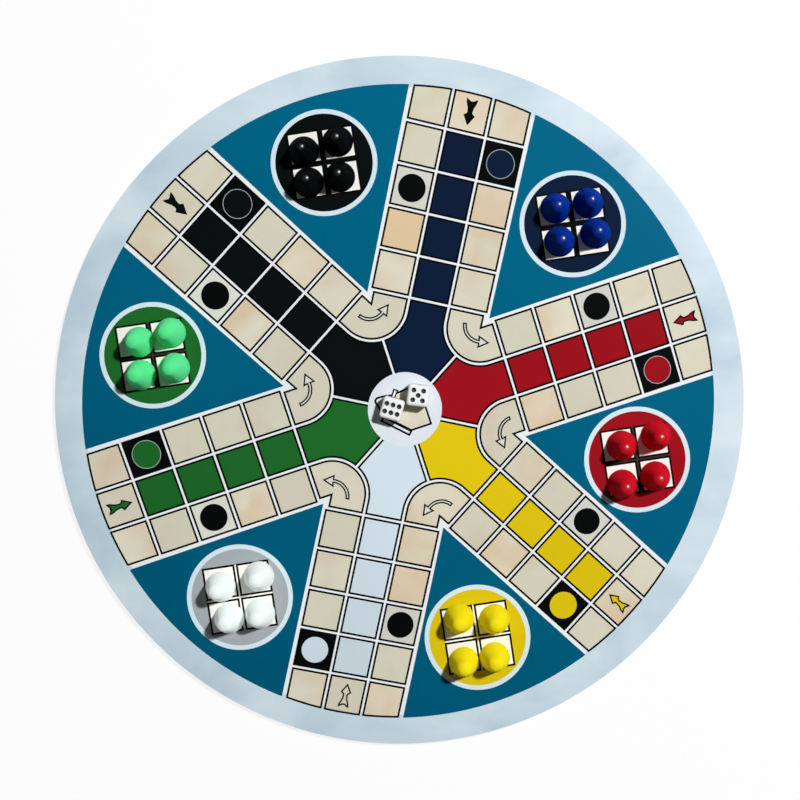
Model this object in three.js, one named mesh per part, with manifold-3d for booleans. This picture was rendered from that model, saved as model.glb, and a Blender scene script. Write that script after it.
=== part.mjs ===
// Round six-player race-game board with four pawns for each of six colours and two dice.
// Millimetres, +Z up. The origin is the middle of the board's underside.

import * as THREE from 'three';
import { RoundedBoxGeometry } from 'three/addons/geometries/RoundedBoxGeometry.js';
import { mergeVertices } from 'three/addons/utils/BufferGeometryUtils.js';
import Module from 'manifold-3d';

const wasm = await Module();
wasm.setup();

// Board: a backing sheet, a stiff core with a band round its edge, and the printed sheet on top
const BOARD_DIAMETER = 350;
const BACKING_THICKNESS = 0.25;
const CORE_THICKNESS = 5;
const SHEET_THICKNESS = 0.25;
const EDGE_BAND_THICKNESS = 1;
const GLUE_LINE = 0.125; // between the core and the band
const BOARD_SIDES = 72;

// Yards: six round resting places, each with a square of two by two cells for the pawns
const YARD_FROM_EDGE = 48.3; // from the edge of the board to the middle of a yard
const YARD_TURN = 48.1; // degrees from +X to the first yard, anticlockwise
const GRID_TURN = 8.5; // degrees that every yard's cells are turned, anticlockwise
const CELL_CLEARANCE = 0.5; // a cell is this much wider than a pawn
const CELL_GAP = 1.6; // between two cells
const PAWN_SPACE = 0.3; // least space between two pawns side by side

// Pawn: a low foot with a shallow hollow below, and a plain cone that ends in a round tip
const FOOT_DIAMETER = 15.4;
const FOOT_HEIGHT = 0.9;
const FOOT_STEP = 0.25; // the cone starts this far inside the foot
const HOLLOW_WALL = 1.8;
const HOLLOW_DEPTH = 0.8;
const CONE_HEIGHT = 21.1; // from the foot to the top of the tip
const TIP_DIAMETER = 7.4;
const PAWN_SIDES = 20;
const TIP_STEPS = 5;

// Dice: rounded cubes with dished spots
const DIE_SIZE = 11;
const DIE_ROUND = 1.6;
const DIE_ROUND_STEPS = 2;
const PIP_DIAMETER = 2.4;
const PIP_DEPTH = 0.4;
const PIP_INSET = 3.05; // from the side of the die to the nearest row of spots
const SIX_END_INSET = 2.3; // the same at the ends of the six's rows
const SIX_SIDE_INSET = 3.5; // the same beside the six's rows
const PIP_SIDES = 10;
const PIP_RINGS = 8;
const DICE_TURNS = [-16, -7]; // degrees, anticlockwise
const DICE_SPACE = 0.45; // between the two dice
const DICE_SLIP = 8.3; // how far the second die lies past the first, along their facing sides
const DICE_MIDDLE = [2.9, 0.1]; // from the middle of the board to the middle of the pair

const BOARD_RADIUS = BOARD_DIAMETER / 2;
const CORE_BASE = BACKING_THICKNESS;
const SHEET_BASE = CORE_BASE + CORE_THICKNESS;
const BOARD_TOP = SHEET_BASE + SHEET_THICKNESS;
const CELL_PITCH = FOOT_DIAMETER + CELL_CLEARANCE + CELL_GAP;
const PLAY = (CELL_PITCH - FOOT_DIAMETER - PAWN_SPACE) / 2;

// The six colours anticlockwise from the first yard. shift is how far the yard was printed off its place
// in an even ring of six. places is how far, in shares of the play, the hand left each pawn off the middle of
// its cell: upper left, upper right, lower left, lower right.
const PLAYERS = [
  {
    name: 'blue',
    finish: { color: 0x0a2a8c, roughness: 0.25 },
    shift: [3.1, -4.1],
    places: [[1.5, 0.3], [0.6, 0.55], [0.95, 0.95], [2.15, 2.45]],
  },
  {
    name: 'black',
    finish: { color: 0x0b0c0e, roughness: 0.25 },
    shift: [1.1, 0.6],
    places: [[-0.5, -2.05], [-0.2, 0.7], [-0.4, -0.1], [-2, 0.45]],
  },
  {
    name: 'green',
    finish: { color: 0x52e08c, roughness: 0.45 },
    shift: [-1.3, -2.6],
    places: [[3.5, -1.15], [2.3, 1.3], [1.5, -0.15], [1.6, 0.85]],
  },
  {
    name: 'white',
    finish: { color: 0xf2f2f0, roughness: 0.45 },
    shift: [3.1, -5.4],
    places: [[-0.15, -2.15], [2.85, 0.55], [1.95, -1.1], [0.2, -1]],
  },
  {
    name: 'yellow',
    finish: { color: 0xf0dc14, roughness: 0.45 },
    shift: [0.3, 0.1],
    places: [[0.95, 2.5], [1.35, -0.85], [-0.05, -2.95], [-1.85, -2.85]],
  },
  {
    name: 'red',
    finish: { color: 0xc8061e, roughness: 0.25 },
    shift: [-3.1, -3.3],
    places: [[2.1, -0.65], [2.65, 2.05], [-0.6, -3.05], [-1.1, -1.2]],
  },
];
const CELLS = [[-1, 1], [1, 1], [-1, -1], [1, -1]];

const group = new THREE.Group();

function addMesh(name, geometry, finish) {
  const mesh = new THREE.Mesh(geometry, new THREE.MeshStandardMaterial({ metalness: 0, ...finish }));
  mesh.name = name;
  group.add(mesh);
  return mesh;
}

// A flat round sheet standing on z = 0
function disc(radius, thickness) {
  const geometry = new THREE.CylinderGeometry(radius, radius, thickness, BOARD_SIDES);
  geometry.rotateX(Math.PI / 2);
  geometry.translate(0, 0, thickness / 2);
  return geometry;
}

// A hoop standing on z = 0: a rectangle turned round the axis
function hoop(outer, inner, height) {
  const outline = [[inner, 0], [outer, 0], [outer, height], [inner, height], [inner, 0]];
  return lathe(outline, BOARD_SIDES);
}

// A profile of [radius, height] pairs turned round +Z
function lathe(profile, sides) {
  const points = profile.map(([radius, height]) => new THREE.Vector2(radius, height));
  const geometry = new THREE.LatheGeometry(points, sides);
  geometry.rotateX(Math.PI / 2);
  return geometry;
}

// The board's four layers, each resting on the one below it
function makeBoard() {
  const coreRadius = BOARD_RADIUS - EDGE_BAND_THICKNESS - GLUE_LINE;
  const bandInside = BOARD_RADIUS - EDGE_BAND_THICKNESS;
  const backing = disc(BOARD_RADIUS, BACKING_THICKNESS);
  addMesh('backing_sheet', backing, { color: 0xe9ebec, roughness: 0.7 });
  const core = addMesh('core_panel', disc(coreRadius, CORE_THICKNESS), { color: 0xb08d62, roughness: 0.9 });
  core.position.z = CORE_BASE;
  const band = hoop(BOARD_RADIUS, bandInside, CORE_THICKNESS);
  addMesh('edge_band', band, { color: 0xdfe6ea, roughness: 0.4 }).position.z = CORE_BASE;
  const sheet = disc(BOARD_RADIUS, SHEET_THICKNESS);
  addMesh('printed_sheet', sheet, { color: 0xd3dfe6, roughness: 0.3 }).position.z = SHEET_BASE;
}

// The outline of a pawn from the middle of its hollow to the top of its tip
function pawnProfile() {
  const foot = FOOT_DIAMETER / 2;
  const hollow = foot - HOLLOW_WALL;
  const cone = foot - FOOT_STEP;
  const tip = TIP_DIAMETER / 2;
  const tipMiddle = FOOT_HEIGHT + CONE_HEIGHT - tip;
  const rise = tipMiddle - FOOT_HEIGHT;
  // The cone's side touches the tip's ball, which sets how far it leans from upright
  const lean = Math.atan2(cone, rise) - Math.asin(tip / Math.hypot(cone, rise));
  const tipPoints = [];
  for (let step = 0; step < TIP_STEPS; step += 1) {
    const angle = lean + (Math.PI / 2 - lean) * (step / TIP_STEPS);
    tipPoints.push([tip * Math.cos(angle), tipMiddle + tip * Math.sin(angle)]);
  }
  return [
    [0, HOLLOW_DEPTH],
    [hollow, HOLLOW_DEPTH],
    [hollow, 0],
    [foot, 0],
    [foot, FOOT_HEIGHT],
    [cone, FOOT_HEIGHT],
    ...tipPoints,
    [0, tipMiddle + tip],
  ];
}

// Four pawns in each yard, each a little off the middle of its cell
function makePawns() {
  const geometry = lathe(pawnProfile(), PAWN_SIDES);
  const yardRadius = BOARD_RADIUS - YARD_FROM_EDGE;
  const grid = THREE.MathUtils.degToRad(GRID_TURN);
  PLAYERS.forEach((player, index) => {
    const angle = THREE.MathUtils.degToRad(YARD_TURN + index * (360 / PLAYERS.length));
    const yard = new THREE.Vector2(yardRadius, 0).rotateAround(new THREE.Vector2(), angle);
    yard.add(new THREE.Vector2(...player.shift));
    CELLS.forEach(([column, row], cell) => {
      const [right, up] = player.places[cell];
      const spot = new THREE.Vector2(
        column * (CELL_PITCH / 2) + right * PLAY,
        row * (CELL_PITCH / 2) + up * PLAY,
      );
      spot.rotateAround(new THREE.Vector2(), grid).add(yard);
      const pawn = addMesh(`pawn_${player.name}_${cell + 1}`, geometry, player.finish);
      pawn.position.set(spot.x, spot.y, BOARD_TOP);
    });
  });
}

// A closed solid for cutting, from any closed geometry
function toSolid(geometry) {
  const plain = geometry.clone();
  plain.deleteAttribute('normal');
  plain.deleteAttribute('uv');
  const merged = mergeVertices(plain, 1e-4);
  return new wasm.Manifold(new wasm.Mesh({
    numProp: 3,
    vertProperties: Float32Array.from(merged.attributes.position.array),
    triVerts: Uint32Array.from(merged.index.array),
  }));
}

function fromSolid(solid) {
  const mesh = solid.getMesh();
  const geometry = new THREE.BufferGeometry();
  geometry.setAttribute('position', new THREE.BufferAttribute(mesh.vertProperties, 3));
  geometry.setIndex(new THREE.BufferAttribute(mesh.triVerts, 1));
  geometry.computeVertexNormals();
  return geometry;
}

// Where the spots of a face lie, from the face's middle
function pipSpots(value) {
  const middle = [[0, 0]];
  const spread = DIE_SIZE / 2 - PIP_INSET;
  const length = DIE_SIZE / 2 - SIX_END_INSET;
  const width = DIE_SIZE / 2 - SIX_SIDE_INSET;
  const slant = [[-spread, -spread], [spread, spread]];
  const corners = [...slant, [-spread, spread], [spread, -spread]];
  const rows = [-length, 0, length].flatMap((along) => [[along, -width], [along, width]]);
  return [middle, slant, [...middle, ...slant], corners, [...middle, ...corners], rows][value - 1];
}

// A rounded cube with dished spots; top is the number on its upper face, side the one facing +X,
// front the one facing +Y, and opposite faces add up to seven
function dieGeometry(top, side, front) {
  const cube = new RoundedBoxGeometry(DIE_SIZE, DIE_SIZE, DIE_SIZE, DIE_ROUND_STEPS, DIE_ROUND);
  const dish = (PIP_DIAMETER ** 2 / 4 + PIP_DEPTH ** 2) / (2 * PIP_DEPTH); // radius of a dish
  const ball = new THREE.SphereGeometry(dish, PIP_SIDES, PIP_RINGS).rotateX(Math.PI / 2);
  const faces = [
    { value: top, normal: [0, 0, 1] },
    { value: 7 - top, normal: [0, 0, -1] },
    { value: side, normal: [1, 0, 0] },
    { value: 7 - side, normal: [-1, 0, 0] },
    { value: front, normal: [0, 1, 0] },
    { value: 7 - front, normal: [0, -1, 0] },
  ];
  let die = toSolid(cube);
  for (const face of faces) {
    const turn = new THREE.Quaternion().setFromUnitVectors(
      new THREE.Vector3(0, 0, 1),
      new THREE.Vector3(...face.normal),
    );
    for (const [across, along] of pipSpots(face.value)) {
      const cutter = ball.clone();
      cutter.translate(across, along, DIE_SIZE / 2 + dish - PIP_DEPTH);
      cutter.applyQuaternion(turn);
      die = die.subtract(toSolid(cutter));
    }
  }
  return fromSolid(die);
}

// Two dice at rest in the middle, a six and a five, side by side without touching
function makeDice() {
  const finish = { color: 0xf4f4f2, roughness: 0.3 };
  const [firstTurn, secondTurn] = DICE_TURNS.map(THREE.MathUtils.degToRad);
  const skew = Math.abs(secondTurn - firstTurn);
  const reach = (DIE_SIZE / 2) * (1 + Math.cos(skew) + Math.sin(skew));
  const apart = new THREE.Vector2(reach + DICE_SPACE, DICE_SLIP);
  apart.rotateAround(new THREE.Vector2(), secondTurn);
  const middle = new THREE.Vector2(...DICE_MIDDLE);
  const height = BOARD_TOP + DIE_SIZE / 2;
  const six = addMesh('die_1', dieGeometry(6, 2, 3), finish);
  six.rotation.z = firstTurn;
  six.position.set(middle.x - apart.x / 2, middle.y - apart.y / 2, height);
  const five = addMesh('die_2', dieGeometry(5, 3, 1), finish);
  five.rotation.z = secondTurn;
  five.position.set(middle.x + apart.x / 2, middle.y + apart.y / 2, height);
}

makeBoard();
makePawns();
makeDice();

export default group;
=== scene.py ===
"""Dresses a round race game for six players: the board with its print, 24 pawns and two dice."""

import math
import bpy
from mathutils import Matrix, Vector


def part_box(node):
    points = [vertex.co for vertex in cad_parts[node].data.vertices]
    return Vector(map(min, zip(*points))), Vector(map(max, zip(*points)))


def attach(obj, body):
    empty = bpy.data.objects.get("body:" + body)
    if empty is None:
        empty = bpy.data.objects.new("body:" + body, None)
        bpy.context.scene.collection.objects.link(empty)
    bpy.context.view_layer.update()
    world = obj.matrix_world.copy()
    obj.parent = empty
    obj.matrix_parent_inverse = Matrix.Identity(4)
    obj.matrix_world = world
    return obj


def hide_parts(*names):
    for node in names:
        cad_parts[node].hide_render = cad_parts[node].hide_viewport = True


bl_info = {
    "name": "Round Race Game",
    "version": (1, 0, 0),
    "blender": (4, 5, 0),
    "location": "View3D > Sidebar > Race Game",
    "description": "Dresses a round race-game board for six players, with its pawns and dice",
    "category": "Object",
}

import bpy
import numpy as np
from mathutils import Matrix, Vector

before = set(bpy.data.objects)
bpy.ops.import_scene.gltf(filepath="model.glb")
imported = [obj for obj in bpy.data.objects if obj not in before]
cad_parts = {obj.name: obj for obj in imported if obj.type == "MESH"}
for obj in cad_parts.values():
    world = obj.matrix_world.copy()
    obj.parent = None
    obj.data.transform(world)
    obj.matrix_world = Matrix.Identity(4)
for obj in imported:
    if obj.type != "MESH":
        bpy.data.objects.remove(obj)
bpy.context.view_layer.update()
SHEET_LOW, SHEET_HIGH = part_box("printed_sheet")
BAND_LOW, BAND_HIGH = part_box("edge_band")
BACK_LOW, BACK_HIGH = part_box("backing_sheet")
CORE_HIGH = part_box("core_panel")[1]
PAWN_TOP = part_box("pawn_red_1")[1].z

MM = 0.001
SIXTH = math.tau / 6
HALF_SIXTH = SIXTH / 2
ROWS = 5
PAWNS_EACH = 4
LEVELS = 4
BOARD_SIDES = 360
ROUND_STEPS = 96
ARC_STEPS = 24
PAWN_SIDES = 112
DIE_STEPS = 92
FLOOR_SIDES = 96
CELL_SEED, PLACE_SEED, PAWN_SEED = 11, 23, 5
START_ROW, STOP_ROW = 1, 2
SHARP_ANGLE = math.radians(32)
PRINT_GLOSS = 0.09
LINE_CONTRAST = 0.3
# Painted light and shade on the teal: lighter by this share towards one side of the board, darker towards the
# other, along the turn below.
TEAL_PAINTED_LIGHT = 0.19
PAINTED_LIGHT_TURN = math.radians(65)
FILM_GLOSS = 0.08
PAWN_GLOSS = 0.02
PAWN_DEPTH = 0.008
PAWN_SCATTER = 0.7
PAWN_LIFT = 0.4
TIP_FADE, TIP_FULL = 0.00055, 0.0003

# The players in the order of their arms, anticlockwise.
PLAYERS = ("red", "blue", "black", "green", "white", "yellow")

# How far each yard is printed off its even place, in mm.
YARD_SHIFTS = {
    "red": (-3.1, -3.3),
    "blue": (3.1, -4.1),
    "black": (1.1, 0.6),
    "green": (-1.3, -2.6),
    "white": (3.1, -5.4),
    "yellow": (0.3, 0.1),
}

# Strength of each colour's painted glow, an emission that brightens its pawns though they are no lamp, and
# the colours with a glossy tip.
PAINTED_GLOW = {"red": 0.05, "blue": 0.0, "black": 0.0, "green": 0.03, "white": 0.3, "yellow": 0.09}
POLISHED = ("red", "blue", "black")

# Turns of a die's six faces out of the face that looks up, with the face's own +Z as its outside.
FACES = {
    "top": np.array([[1, 0, 0], [0, 1, 0], [0, 0, 1]]),
    "bottom": np.array([[-1, 0, 0], [0, 1, 0], [0, 0, -1]]),
    "right": np.array([[0, 0, 1], [0, 1, 0], [-1, 0, 0]]),
    "left": np.array([[0, 0, -1], [0, 1, 0], [1, 0, 0]]),
    "back": np.array([[1, 0, 0], [0, 0, 1], [0, -1, 0]]),
    "front": np.array([[1, 0, 0], [0, 0, -1], [0, 1, 0]]),
}


def linear(code):
    """A colour written as six hex digits, as scene-linear red, green, blue and alpha."""
    shares = np.array([int(code[i : i + 2], 16) / 255 for i in (0, 2, 4)])
    light = np.where(shares <= 0.04045, shares / 12.92, ((shares + 0.055) / 1.055) ** 2.4)
    return (*light.tolist(), 1.0)


def length(name, note, mm):
    """A length setting, given in millimetres and kept in metres."""
    return bpy.props.FloatProperty(
        name=name, description=note, default=mm * MM, unit="LENGTH", precision=5
    )


def place(name, note, mm):
    """A place setting, given in millimetres and kept in metres."""
    return bpy.props.FloatVectorProperty(
        name=name, description=note, default=[v * MM for v in mm], size=len(mm), unit="LENGTH", precision=5
    )


def angle(name, note, degrees):
    """An angle setting, given in degrees and kept in radians."""
    return bpy.props.FloatProperty(
        name=name, description=note, default=math.radians(degrees), subtype="ANGLE"
    )


def number(name, note, value, unit="NONE"):
    """A plain number setting, with a unit where it has one."""
    return bpy.props.FloatProperty(name=name, description=note, default=value, unit=unit)


def colour(name, note, code):
    """A colour setting, given as six hex digits."""
    return bpy.props.FloatVectorProperty(
        name=name, description=note, default=linear(code), size=4, subtype="COLOR", min=0, max=1
    )


class BoardSettings(bpy.types.PropertyGroup):
    """Sizes and colours of the board's own layers."""

    sheet_round: length("Sheet rounding", "Radius on the edges of the printed sheet", 0.05)
    band_round: length("Band rounding", "Radius on the outer edges of the edge band", 0.35)
    back_round: length("Backing rounding", "Radius on the edges of the backing sheet", 0.08)
    sheet_dark: colour("Sheet, dark", "Darker patches of the bare sheet", "B0C9D7")
    sheet_light: colour("Sheet, light", "Lighter patches of the bare sheet", "DAE7EE")
    sheet_print: colour("Sheet, printed", "White ground of the drawing", "EAEEF0")
    band: colour("Edge band", "Plastic band round the edge", "C3D0D8")
    back: colour("Backing", "Paper under the board", "B9BCBA")
    core: colour("Core", "Fibreboard inside the board", "A88A63")


class PrintSettings(bpy.types.PropertyGroup):
    """Sizes of the printed drawing."""

    ink: length("Ink step", "Height of one layer of print", 0.05)
    edge_radius: length("Print radius", "Radius of the print's round edge", 160.87)
    offset: place("Offset", "Middle of the print's round edge on the board", (-0.65, -0.45))
    pull: place("Pull", "How far the drawing's middle lies off the middle of its edge", (3.82, -4.5))
    stretch: number("Stretch", "Share by which the drawing is longer along X and shorter along Y", -0.0019)
    slant: number("Slant", "Share by which the drawing is longer along the line between X and Y", 0.0036)
    arm_turn: angle("First arm", "Direction of the first arm", 18.07)
    column_pitch: length("Column pitch", "From one column of an arm to the next", 20.41)
    row_pitch: length("Row pitch", "From one row of an arm to the next", 21.11)
    row_start: length("Row start", "From the middle to the innermost row", 56.33)
    gap: length("Gap", "White between two cells", 1.12)
    line: length("Line", "Width of the black outlines", 1.0)
    corner_centre: length("Corner centre", "From the middle to the centre of a corner's arc", 56.3)
    corner_side: length("Corner side", "From an arm's middle line to the far side of a corner", 28.8)
    sector_side: length("Sector side", "From an arm's middle line to a sector's side at its tip", 31.5)
    sector_flare: angle("Sector flare", "How far a sector's side leans away from the arm", 0.4)
    dot_radius: length("Dot", "Radius of the dot on a stop cell", 6.9)
    start_radius: length("Start", "Radius of the circle on a start cell", 7.2)
    start_ring: length("Start ring", "Width of the grey ring round a start circle", 0.35)
    dart_middle: length("Dart", "From the middle to the middle of an arm's dart", 151.2)
    sign_line: length("Sign line", "Width of the outline of darts and arrows", 0.75)
    disc_radius: length("Disc", "Radius of the white disc in the middle", 18.9)
    disc_place: place("Disc place", "Middle of the disc in the drawing", (-0.5, 1.0))
    house_turn: angle("House turn", "Direction of the house's gable", 63.0)


class YardSettings(bpy.types.PropertyGroup):
    """Sizes of the six round yards."""

    radius: length("Yard ring", "From the middle of the board to the middle of a yard", 126.7)
    ring_radius: length("Ring", "Outer radius of a yard's white ring", 27.0)
    ring_width: length("Ring width", "Width of a yard's white ring", 2.35)
    grid_turn: angle("Grid turn", "How far a yard's four places are turned", 8.5)
    pitch: length("Pitch", "From one place to the next", 17.5)
    side: length("Place", "Side of a place with its outline", 16.7)
    line: length("Line", "Width of a place's outline", 1.02)


class InkColours(bpy.types.PropertyGroup):
    """Colours of the print."""

    teal: colour("Teal", "Sectors between the arms", "005E7E")
    cream: colour("Cream", "Cells of the track", "DFDBC6")
    peach: colour("Peach", "Warmer patches in the cream", "DAC4A7")
    warm: colour("Warm", "The one cell printed in a warmer tone", "DAC29D")
    pale: colour("Pale", "Stop cells", "DAD9D0")
    white: colour("White", "Rings round the yards", "D4E6EE")
    disc: colour("Disc", "Disc in the middle and its house", "DEE5ED")
    bright: colour("Bright", "Places in the yards", "F3F1EA")
    dim: colour("Dim", "Gaps between the places in the red and green yards", "3B312C")
    black: colour("Black", "Outlines, dots and start cells", "080A0A")
    yard_grey: colour("Grey", "Disc of the white yard", "A4ABB0")
    ring_grey: colour("Ring grey", "Rings round the start circles", "A3ACB2")
    player_red: colour("Red", "Red arm", "98121C")
    player_blue: colour("Blue", "Blue arm", "0D1D37")
    player_black: colour("Black", "Black arm", "0A0F10")
    player_green: colour("Green", "Green arm", "1F6629")
    player_white: colour("White", "White arm", "CDDCE5")
    player_yellow: colour("Yellow", "Yellow arm", "D9BF12")


class PawnSettings(bpy.types.PropertyGroup):
    """Sizes and colours of the pawns."""

    foot_height: length("Foot height", "Height of the foot's rim", 0.9)
    foot_step: length("Foot step", "From the foot's rim in to the cone", 0.25)
    foot_round: length("Foot rounding", "Radius on the foot's edges", 0.2)
    hollow_wall: length("Hollow wall", "From the foot's rim to the hollow under it", 1.8)
    hollow_depth: length("Hollow depth", "Depth of the hollow under the foot", 0.8)
    tip: length("Tip", "Diameter of the cone's round tip", 7.4)
    seam_height: length("Seam height", "Height of the mould's parting line", 0.03)
    seam_width: length("Seam width", "Half width of the mould's parting line", 0.2)
    red: colour("Red", "Red plastic", "B50E1C")
    blue: colour("Blue", "Blue plastic", "052782")
    black: colour("Black", "Black plastic", "07080A")
    green: colour("Green", "Green plastic", "57E08B")
    white: colour("White", "White plastic", "D2DBD8")
    yellow: colour("Yellow", "Yellow plastic", "E6D112")


class DieSettings(bpy.types.PropertyGroup):
    """Sizes and colours of the dice."""

    rounding: length("Rounding", "Radius on a die's edges", 1.6)
    spot: length("Spot", "Diameter of a spot", 2.4)
    spot_depth: length("Spot depth", "Depth of a spot's dish", 0.4)
    spot_inset: length("Spot inset", "From a die's side to the outer spots", 3.05)
    six_end_inset: length("Six, ends", "From a die's side to the end spots of the six", 2.3)
    six_side_inset: length("Six, sides", "From a die's side to the rows of the six", 3.5)
    paint: length("Paint", "Thickness of the paint in a spot", 0.03)
    first_turn: angle("First turn", "How far the first die is turned", -16.0)
    second_turn: angle("Second turn", "How far the second die is turned", -7.0)
    body: colour("Body", "White plastic of the dice", "F5F6F5")
    spots: colour("Spots", "Paint in the spots", "0B0D14")


class StageSettings(bpy.types.PropertyGroup):
    """Camera, light and floor."""

    camera_place: place("Camera", "Where the camera stands", (20.0, 26.3, 855.1))
    camera_target: place("Target", "What the camera is turned to", (26.1, 0.87, 5.5))
    lens: number("Lens", "Focal length on a 36 mm sensor, in mm", 75.25, "CAMERA")
    lens_shift: number("Lens shift", "Sideways shift of the lens, in shares of the picture", -0.0639)
    key_distance: length("Lamp distance", "From the board to the lamp", 2400.0)
    key_turn: angle("Lamp direction", "Direction the light comes from", 37.5)
    key_height: angle("Lamp height", "Height of the lamp over the horizon", 61.2)
    key_size: length("Lamp size", "Diameter of the lamp", 150.0)
    key_power: number("Lamp power", "Power of the lamp in watts", 59.0, "POWER")
    sky: number("Sky", "Strength of the soft light from all round", 0.055)
    under_distance: length("Lower lamp", "From the floor down to the lamp that shows the underside", 1500.0)
    under_size: length("Lower lamp size", "Diameter of the lamp under the floor", 600.0)
    under_power: number("Lower lamp power", "Power of the lamp under the floor in watts", 20.0, "POWER")
    floor_height: length("Floor height", "Height of the floor, a hair over the board's underside", 0.1)
    floor_radius: length("Floor", "Radius of the flat floor", 3000.0)
    floor_rise: length("Backdrop", "Height of the backdrop round the floor", 1400.0)
    floor: colour("Floor colour", "Floor and backdrop", "F7F7F7")
    floor_glow: number("Floor glow", "Share of the floor's white that doesn't depend on the lamp", 0.87)


class RaceBoardSettings(bpy.types.PropertyGroup):
    """All settings of the race game."""

    board: bpy.props.PointerProperty(type=BoardSettings, name="Board", description="Board layers")
    drawing: bpy.props.PointerProperty(type=PrintSettings, name="Print", description="Printed drawing")
    yard: bpy.props.PointerProperty(type=YardSettings, name="Yards", description="Round yards")
    inks: bpy.props.PointerProperty(type=InkColours, name="Inks", description="Colours of the print")
    pawn: bpy.props.PointerProperty(type=PawnSettings, name="Pawns", description="Pawns")
    die: bpy.props.PointerProperty(type=DieSettings, name="Dice", description="Dice")
    stage: bpy.props.PointerProperty(type=StageSettings, name="Stage", description="Camera and light")


class Value:
    """A socket whose value changes over a surface. Arithmetic on it adds Math nodes."""

    def __init__(self, shader, socket):
        self.shader = shader
        self.socket = socket

    def math(self, operation, first, second):
        """The Math node of one operation on two values or numbers."""
        sockets = {"Value": first, "Value_001": second}
        return self.shader.node("ShaderNodeMath", {"operation": operation}, sockets, "Value")

    def __add__(self, other):
        return self.math("ADD", self, other)

    def __radd__(self, other):
        return self.math("ADD", other, self)

    def __sub__(self, other):
        return self.math("SUBTRACT", self, other)

    def __rsub__(self, other):
        return self.math("SUBTRACT", other, self)

    def __mul__(self, other):
        return self.math("MULTIPLY", self, other)

    def __rmul__(self, other):
        return self.math("MULTIPLY", other, self)

    def most(self, other):
        """The larger of two values."""
        return self.math("MAXIMUM", self, other)


class Shader:
    """A node tree being made, with the one method that adds nodes to it."""

    def __init__(self, tree):
        self.tree = tree
        tree.nodes.clear()

    def node(self, kind, settings=None, sockets=None, output=None):
        """Adds a node: its settings first, then a value or link for each socket; gives one output."""
        made = self.tree.nodes.new(kind)
        for key, setting in (settings or {}).items():
            setattr(made, key, setting)
        inputs = {socket.identifier: socket for socket in made.inputs}
        for key, given in (sockets or {}).items():
            if isinstance(given, Value):
                self.tree.links.new(given.socket, inputs[key])
            else:
                inputs[key].default_value = given
        outputs = {socket.identifier: socket for socket in made.outputs}
        return Value(self, outputs[output]) if output else None

    def where(self):
        """Object coordinates, which are metres in the board's frame."""
        return self.node("ShaderNodeTexCoord", output="Object")

    def part(self, vector, axis):
        """One of a vector's three parts, X, Y or Z."""
        return self.node("ShaderNodeSeparateXYZ", {}, {"Vector": vector}, axis)

    def stretched(self, where, scale, turn=0.0):
        """Coordinates stretched along the axes, after a turn about +Z."""
        sockets = {"Vector": where, "Scale": scale, "Rotation": (0.0, 0.0, turn)}
        return self.node("ShaderNodeMapping", {}, sockets, "Vector")

    def noise(self, where, scale, detail=2.0, rough=0.5, warp=0.0):
        """Cloudy noise between 0 and 1, about 0.5."""
        sockets = {"Vector": where, "Scale": scale, "Detail": detail, "Roughness": rough, "Distortion": warp}
        return self.node("ShaderNodeTexNoise", {}, sockets, "Fac")

    def between(self, share, first, second):
        """A colour between two, by a share that is held from 0 to 1."""
        sockets = {"Factor_Float": share, "A_Color": first, "B_Color": second}
        settings = {"data_type": "RGBA", "clamp_factor": True}
        return self.node("ShaderNodeMix", settings, sockets, "Result_Color")

    def span(self, value, low, high):
        """0 below low, 1 above high, and a smooth step between."""
        sockets = {"Value": value, "From Min": low, "From Max": high}
        return self.node("ShaderNodeMapRange", {"interpolation_type": "SMOOTHSTEP"}, sockets, "Result")

    def bumped(self, height, depth, strength=1.0, normal=None):
        """A normal bent by a height between 0 and 1 that stands for a depth in metres."""
        sockets = {"Height": height, "Distance": depth, "Strength": strength}
        if normal:
            sockets["Normal"] = normal
        return self.node("ShaderNodeBump", {}, sockets, "Normal")

    def lifted(self, share):
        """The surface's own normal plus a share of straight up, made one long again."""
        own = self.node("ShaderNodeNewGeometry", output="Normal")
        sockets = {"Vector": own, "Vector_001": (0.0, 0.0, share)}
        both = self.node("ShaderNodeVectorMath", {"operation": "ADD"}, sockets, "Vector")
        return self.node("ShaderNodeVectorMath", {"operation": "NORMALIZE"}, {"Vector": both}, "Vector")

    def surface(self, base, rough, normal, **fixed):
        """The principled surface, whose other sockets keep one value all over."""
        sockets = {"Base Color": base, "Roughness": rough, "Normal": normal}
        sockets.update({key.replace("_", " "): given for key, given in fixed.items()})
        shown = self.node("ShaderNodeBsdfPrincipled", {}, sockets, "BSDF")
        self.node("ShaderNodeOutputMaterial", {}, {"Surface": shown})


def new_finish(name):
    """A new material and the shader to make it with."""
    finish = bpy.data.materials.new(name)
    finish.use_nodes = True
    return finish, Shader(finish.node_tree)


def scaled(shade, factor):
    """A colour made darker or lighter, held at 1."""
    return (*(min(1.0, part * factor) for part in tuple(shade)[:3]), 1.0)


def film_over(shader, base, cloud, grain):
    """The satin film over a printed colour, uneven by the cloud and the grain."""
    normal = shader.bumped(grain * 0.6 + cloud * 0.4, 0.00002, 0.3)
    shader.surface(base, 0.14 + cloud * 0.05 + grain * 0.04, normal, Specular_IOR_Level=PRINT_GLOSS)


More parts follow.
